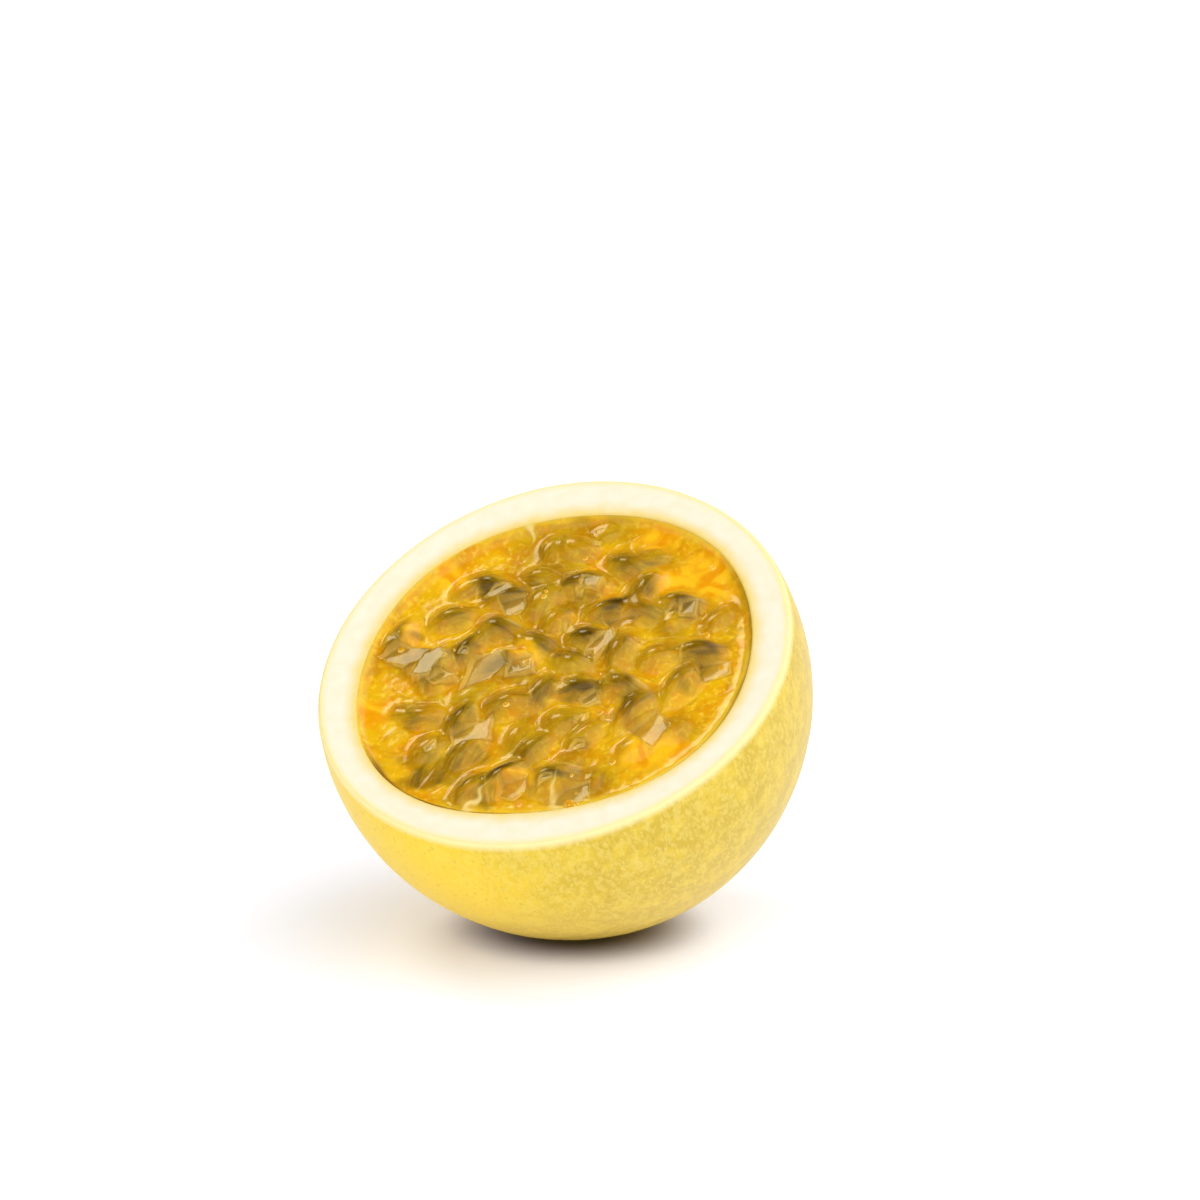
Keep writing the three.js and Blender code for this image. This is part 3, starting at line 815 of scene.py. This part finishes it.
# A square grid drawn out to a disc, so that its faces are of one size. Returns its points, quads and rim.
def discGrid(count):
    line = np.linspace(-1, 1, count)
    u, v = np.meshgrid(line, line, indexing="ij")
    x = u * np.sqrt(1 - v ** 2 / 2)
    y = v * np.sqrt(1 - u ** 2 / 2)
    index = np.arange(count * count).reshape(count, count)
    quads = np.stack([index[:-1, :-1], index[1:, :-1], index[1:, 1:], index[:-1, 1:]], axis=-1).reshape(-1, 4)
    rim = np.concatenate([index[0, :-1], index[:-1, -1], index[-1, :0:-1], index[:0:-1, 0]])
    return x.ravel(), y.ravel(), quads, rim


# Signed turn from one way round the axis to another, of less than half a turn
def turnFrom(way, angle):
    return (angle - way + math.pi) % (2 * math.pi) - math.pi


# Seams, where two sacs stand at one level: how far off that each point is, how whole the seam is there, the
# sac that each point belongs to, and its places along and across that sac
def makeSeams(x, y):
    domes = [sacDome(sac, x, y) for sac in sacs]
    ranked = np.partition(domes, -2, axis=0)
    tie = np.abs(ranked[-1] - ranked[-2] + 0.25 * cloudField(x, y, 1.2, 16))
    whole = smoothStep(-0.2, 0.6, cloudField(x, y, 2.2, 17))
    best = np.argmax(domes, axis=0)
    along, across = np.zeros((2, len(x)))
    for k, sac in enumerate(sacs):
        mine = best == k
        along[mine], across[mine] = alongAcross(sac, x[mine], y[mine])
    return tie, whole, best, along, across


# Clear orange pools, which thin the haze and hearts of the seeds, then the murky places, which add to them
def makePools(x, y, haze, heart):
    pool = np.zeros(len(x))
    for middleX, middleY, size in pulpLook["pools"]:
        away = np.hypot(x - middleX, y - middleY) / size
        away = away + 0.5 * cloudField(x, y, 3.0, 51) + 0.2 * cloudField(x, y, 1.1, 53)
        pool = np.maximum(pool, 1 - smoothStep(0.3, 1.2, away))
    haze, heart = haze * (1 - 0.8 * pool), heart * (1 - 0.9 * pool)
    for middleX, middleY, size, depth in pulpLook["murk"]:
        away = np.hypot(x - middleX, y - middleY) / size + 0.6 * cloudField(x, y, 2.0, 54)
        cloud = depth * (1 - smoothStep(0.3, 1.2, away))
        haze = np.maximum(haze, cloud)
        heart = np.maximum(heart, 0.5 * cloud * smoothStep(0.1, 0.9, cloudField(x, y, 1.8, 55)))
    return pool, haze, heart


# The thin juice over the pith at the edge, wider on the near right, and the shade along the wall
def makeEdgeJuice(angle, fromWall):
    facing = smoothStep(0.1, 0.9, np.cos(angle - pulpLook["shallowWay"]))
    shallow = (0.45 + 0.5 * facing) * (1 - smoothStep(0.1, 0.6 + 1.8 * facing, fromWall))
    shade = np.zeros(len(angle))
    for way, spread, depth in pulpLook["shades"]:
        turn = np.abs(turnFrom(way, angle))
        shade = np.maximum(shade, (1 - smoothStep(0.5 * spread, spread, turn)) * depth)
    shade = shade * (1 - smoothStep(0.15, 0.9, fromWall))
    return shallow * (1 - shade), shade


# Pale strands that tie the pulp to the pith
def makeStrands(x, y, angle, edge):
    strand = np.zeros(len(x))
    for way, reach, width, bend in pulpLook["strands"]:
        inwards = np.minimum(1, (1 - edge) * hollowRadius / reach)
        aside = turnFrom(way, angle) * hollowRadius - bend * inwards ** 2 + 0.7 * cloudField(x, y, 1.4, 61)
        wide = width * (1.2 + smoothStep(0.3, 0.0, inwards) - inwards)
        here = (1 - smoothStep(0.2, 1.0, np.abs(aside) / wide)) * (1 - smoothStep(0.3, 1.0, inwards))
        strand = np.maximum(strand, here * pulpLook["strandStrength"])
    return strand


# The wall of the pulp from its rim down to one point, hidden in the rind. Takes the rim's points as indexes,
# levels, angles and lobes, and the count of points before the wall. Returns the wall's points and faces.
def makeWall(rim, level, angle, lobes, count):
    rows = pulpLook["wallRows"]
    gapBeside, gapUnder = pulpLook["wallGap"]
    deepest = fruit["depth"] - fruit["rindAtEnd"] - gapUnder
    points, faces, ring = [], [], rim
    for row in range(1, rows + 1):
        z = level - (deepest + level) * math.sin(row / (rows + 1) * math.pi / 2)
        radius = flank(hollowRadius - gapBeside, -z / deepest) * lobes
        points.append(np.c_[radius * np.cos(angle), radius * np.sin(angle), z])
        below = count + (row - 1) * len(rim) + np.arange(len(rim))
        faces += np.stack([ring, below, np.roll(below, -1), np.roll(ring, -1)], axis=-1).tolist()
        ring = below
    tip = count + rows * len(rim)
    points.append(np.array([[0.0, 0.0, -deepest]]))
    faces += [(a, tip, b) for a, b in zip(ring.tolist(), np.roll(ring, -1).tolist())]
    return np.concatenate(points), faces


def makePulp():
    look = pulpLook
    x, y, quads, rim = discGrid(look["gridSize"])
    angle = np.arctan2(y, x)
    lobes = wave(fruit["hollowWaves"], angle, hollowRadius)
    share = -look["brimLevel"] / (fruit["depth"] - fruit["rindAtEnd"])
    brim = float(flank(hollowRadius, share)) + look["brimOverlap"]
    x, y = x * lobes * brim, y * lobes * brim
    edge = np.hypot(x, y) / (brim * lobes)
    level, flatness, facetHaze, facetPaintedHighlight, facetPaintedShadow = jellyLevel(x, y, makeFacets())
    tie, whole, best, along, across = makeSeams(x, y)
    calm = (1 - smoothStep(0.97, 1.0, edge)) * (1 - flatness)
    level = level + look["ripple"] * calm * (cloudField(x, y, 1.6, 11) + 0.5 * cloudField(x, y, 0.7, 12))
    level = level + look["fold"] * calm * (1 - smoothStep(0.02, 0.5, tie)) * whole
    haze, heart = makeClouds(x, y)
    seam = (1 - smoothStep(0.02, 0.24, tie)) * whole * (0.4 - 0.3 * heart) * (1 - flatness)
    pool, haze, heart = makePools(x, y, haze, heart)
    shallow, shade = makeEdgeJuice(angle, (1 - edge) * brim * lobes + 0.35 * cloudField(x, y, 2.6, 52))
    values = {
        "haze": haze,
        # the seeds' dark hearts, with the painted shadow line along each facet's edge
        "heart": np.maximum(heart, 0.3 * facetPaintedShadow * (1 - flatness)),
        # the pale seams, with the painted highlight line along each facet's edge
        "seam": np.maximum(seam, 0.5 * facetPaintedHighlight),
        "pool": pool,
        "shallow": shallow,
        "facet": facetHaze,
        "shade": shade,
        "strand": makeStrands(x, y, angle, edge),
    }
    inwards = 1 - smoothStep(0.80, 0.97, edge)
    fibre = np.c_[along * 0.28, across * (0.4 + 0.9 * inwards), best * 3.7]
    wall, wallFaces = makeWall(rim, level[rim], angle[rim], lobes[rim], len(x))
    spare = np.zeros(len(wall))
    kept = {label: ("FLOAT", np.r_[value, spare]) for label, value in values.items()}
    kept["fibre"] = ("FLOAT_VECTOR", np.r_[fibre, np.c_[spare, spare, spare]])
    points = placed(np.r_[np.c_[x, y, level], wall])
    mesh = startMesh("jellyPulp", points, faces=quads.tolist() + wallFaces, values=kept)
    mesh.polygons.foreach_set("use_smooth", np.ones(len(mesh.polygons), bool))
    mesh.materials.append(makeJelly())
    piece = bpy.data.objects.new("jellyPulp", mesh)
    bpy.context.scene.collection.objects.link(piece)
    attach(piece, "root")
    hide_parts("pulp")
    return piece


pulp = makePulp()
print("pulp:", len(pulp.data.polygons), "faces")


# Bubbles in the juice: instances of one low dome on points that hold its size
bubbleLook = {
    "cluster": (12.0, -22.3),     # where most of them are, at the near edge of the pulp
    "clusterCount": 9,
    "clusterSpread": 1.5,
    "looseCount": 14,
    "layout": 5,                  # the random draws of their places and sizes
    "size": (0.22, 0.75),
    "flatness": 0.55,             # height of a dome as a share of its radius
    "sunk": 0.12,
    "segments": 24,
    "rings": 12,
}


def bubbleRule(material):
    tree, given = newRule("bubbles", {
        "Flatness": ("NodeSocketFloat", 1.0),
        "Segments": ("NodeSocketInt", 16),
        "Rings": ("NodeSocketInt", 10),
    })
    ball = addNode(tree, "GeometryNodeMeshUVSphere",
                   inputs={"Segments": given["Segments"], "Rings": given["Rings"], "Radius": 1.0})
    place = addNode(tree, "GeometryNodeInputPosition")
    rise = addNode(tree, "ShaderNodeSeparateXYZ", inputs=(place,)).outputs[2]
    told = addNode(tree, "GeometryNodeStoreNamedAttribute", floats, {0: ball, "Name": "rise", "Value": rise})
    squash = addNode(tree, "ShaderNodeCombineXYZ", inputs=(1.0, 1.0, given["Flatness"]))
    dome = addNode(tree, "GeometryNodeTransform", inputs={0: told, "Scale": squash})
    size = addNode(tree, "GeometryNodeInputNamedAttribute", floats, {"Name": "size"})
    solid = given["Geometry"]
    for kind, inputs in (
            ("GeometryNodeInstanceOnPoints", {"Instance": dome, "Scale": size}),
            ("GeometryNodeRealizeInstances", {}),
            ("GeometryNodeTransform", laidDown),
            ("GeometryNodeSetShadeSmooth", {}),
            ("GeometryNodeSetMaterial", {"Material": material}),
            ("NodeGroupOutput", {})):
        solid = addNode(tree, kind, inputs={0: solid, **inputs})
    return tree


# Froth of passion fruit juice, a thin wet film over air: painted light round its foot, as though light
# gathers there, and the juice's amber on top.
def makeFroth():
    material, tree, shader = newMaterial("passion fruit juice bubble", {
        "Roughness": 0.06,
        "IOR": 1.34,
        "Specular Tint": (1.0, 0.84, 0.52, 1.0),
    })
    rise = addNode(tree, "ShaderNodeAttribute", {"attribute_name": "rise"}).outputs["Fac"]
    top = addNode(tree, "ShaderNodeMapRange", smooth, (rise, 0.35, 0.75))
    clouds = addNode(tree, "ShaderNodeTexNoise", inputs={"Vector": fruitPlace(tree), "Scale": 1 / 0.7})
    amber = addNode(tree, "ShaderNodeMix", rgba, {0: clouds, 6: "#c98a08", 7: "#e0a414"}).outputs[2]
    # painted light: pale yellow round the foot of each bubble
    colour = addNode(tree, "ShaderNodeMix", rgba, {0: top, 6: "#ffe07c", 7: amber}).outputs[2]
    feed(tree, shader, {"Base Color": colour})
    return material


def makeBubbles():
    look = bubbleLook
    draw = np.random.default_rng(look["layout"])
    places = (look["cluster"] + draw.normal(0, look["clusterSpread"], (look["clusterCount"], 2))).tolist()
    for _ in range(look["looseCount"]):
        radius = (hollowRadius - 2) * math.sqrt(draw.random())
        angle = draw.random() * 2 * math.pi
        places.append([radius * math.cos(angle), radius * math.sin(angle)])
    places = np.array(places)
    low, high = look["size"]
    size = low + (high - low) * draw.random(len(places)) ** 1.8
    level = jellyLevel(places[:, 0], places[:, 1], makeFacets())[0] - look["sunk"] * size
    mesh = startMesh("bubblePlaces", np.c_[places, level] * mm, values={"size": ("FLOAT", size * mm)})
    piece = growPiece("juiceBubbles", mesh, bubbleRule(makeFroth()), {
        "Flatness": look["flatness"],
        "Segments": look["segments"],
        "Rings": look["rings"],
    })
    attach(piece, "root")
    return piece


bubbles = makeBubbles()
print("bubbles:", len(bubbles.data.polygons), "faces")

# A pale floor and soft studio light: one softbox nearly overhead, which the jelly's facets mirror
studio = {
    "floorSize": 12.0,
    "floorColours": ("#f5f8fe", "#f9fbff"),
    "floorGlow": 0.2,
    "glowColour": "#bcc4ff",
    "shadeReach": (8.0, 21.0),    # in mm from the resting spot, where the warm shade is full and ends
    "shadeColour": "#a38f5c",
    "sky": 1.92,                  # brightness of the white tent round the set, high up and at the horizon
    "horizon": 0.74,
    "tentReach": (0.0, 0.7),      # height, as a share, over which the one turns into the other
    "tintReach": 0.45,            # and over which its colour does
    "skyColour": (1.0, 1.0, 0.99, 1.0),
    "horizonColour": (0.80, 0.90, 1.0, 1.0),
    "ceiling": 0.07,              # and of the dark ceiling that the wet jelly mirrors
    "ceilingReach": (0.55, 0.80),      # cosines from its middle where it ends and where it is full
    "boxDistance": 0.9,
    "boxSize": (0.30, 0.28),
    "boxPower": 1.75,
    "boxColour": (1.0, 0.95, 0.78),
}


# Matt acrylic floor, white and lit faintly from below. Close under the fruit a painted shade, warm and dark,
# stands in for the contact shadow coloured by light off the yellow skin, and the glow is off there.
def makeFloor():
    half = studio["floorSize"] / 2
    corners = [(-half, -half, 0), (half, -half, 0), (half, half, 0), (-half, half, 0)]
    mesh = startMesh("floor", corners, faces=[(0, 1, 2, 3)])
    material, tree, shader = newMaterial("matt white acrylic, lit faintly from below", {
        "Roughness": 0.8, "Specular IOR Level": 0.2, "Emission Strength": studio["floorGlow"]})
    place = addNode(tree, "ShaderNodeTexCoord").outputs["Object"]
    grain = addNode(tree, "ShaderNodeTexNoise", inputs={"Vector": place, "Scale": 40.0})
    pale, paler = studio["floorColours"]
    tone = addNode(tree, "ShaderNodeMix", rgba, {0: grain, 6: pale, 7: paler}).outputs[2]
    away = addNode(tree, "ShaderNodeVectorMath", "LENGTH", (place,)).outputs["Value"]
    full, end = studio["shadeReach"]
    clear = addNode(tree, "ShaderNodeMapRange", smooth, (away, full * mm, end * mm))
    # painted shade close under the fruit: a warm dark colour, and no glow there
    for socket, plain, shaded in (
            ("Base Color", tone, studio["shadeColour"]),
            ("Emission Color", studio["glowColour"], "#000000")):
        mixed = addNode(tree, "ShaderNodeMix", rgba, {0: clear, 6: shaded, 7: plain})
        feed(tree, shader, {socket: mixed.outputs[2]})
    mesh.materials.append(material)
    floor = bpy.data.objects.new("floor", mesh)
    bpy.context.scene.collection.objects.link(floor)


# The way from the fruit to the softbox: the facets lean a little, and mirror it into the camera
def boxWay():
    lean, way = pulpLook["facetLean"], pulpLook["facetWay"]
    normal = (math.sin(lean) * math.cos(way), math.sin(lean) * math.sin(way), math.cos(lean))
    normal = np.array(lying.to_3x3()) @ np.array(normal)
    return 2 * normal * (normal @ cameraBack) - cameraBack


# The light of a white tent, brighter high up, with a dark ceiling round the softbox
def makeTent(mirrored):
    world = bpy.data.worlds.new("studio")
    bpy.context.scene.world = world
    world.use_nodes = True
    tree = world.node_tree
    tree.nodes.clear()
    way = addNode(tree, "ShaderNodeTexCoord").outputs["Generated"]
    near = addNode(tree, "ShaderNodeVectorMath", "DOT_PRODUCT", (way, tuple(mirrored))).outputs["Value"]
    height = addNode(tree, "ShaderNodeSeparateXYZ", inputs=(way,)).outputs[2]
    low, high = studio["tentReach"]
    tent = addNode(tree, "ShaderNodeMapRange", smooth, (height, low, high, studio["horizon"], studio["sky"]))
    end, full = studio["ceilingReach"]
    strength = addNode(tree, "ShaderNodeMapRange", smooth, (near, end, full, tent, studio["ceiling"]))
    upper = addNode(tree, "ShaderNodeMapRange", inputs={0: height, 2: studio["tintReach"]})
    tint = addNode(tree, "ShaderNodeMix", rgba,
                   {0: upper, 6: studio["horizonColour"], 7: studio["skyColour"]}).outputs[2]
    glow = addNode(tree, "ShaderNodeBackground", inputs={"Color": tint, "Strength": strength})
    addNode(tree, "ShaderNodeOutputWorld", inputs={"Surface": glow})


def makeSoftbox(mirrored):
    light = bpy.data.lights.new("softbox", "AREA")
    light.shape = "RECTANGLE"
    light.size, light.size_y = studio["boxSize"]
    light.energy = studio["boxPower"]
    light.color = studio["boxColour"]
    box = bpy.data.objects.new("softbox", light)
    centre = np.array(lying.translation) + mirrored * studio["boxDistance"]
    aside = np.cross((0, 1, 0), mirrored)
    aside = aside / np.linalg.norm(aside)
    turn = Matrix((aside, np.cross(mirrored, aside), mirrored)).transposed().to_4x4()
    box.matrix_world = Matrix.Translation(centre) @ turn
    bpy.context.scene.collection.objects.link(box)


makeFloor()
makeTent(boxWay())
makeSoftbox(boxWay())
bpy.context.scene.view_settings.view_transform = "Standard"
print("studio: done")
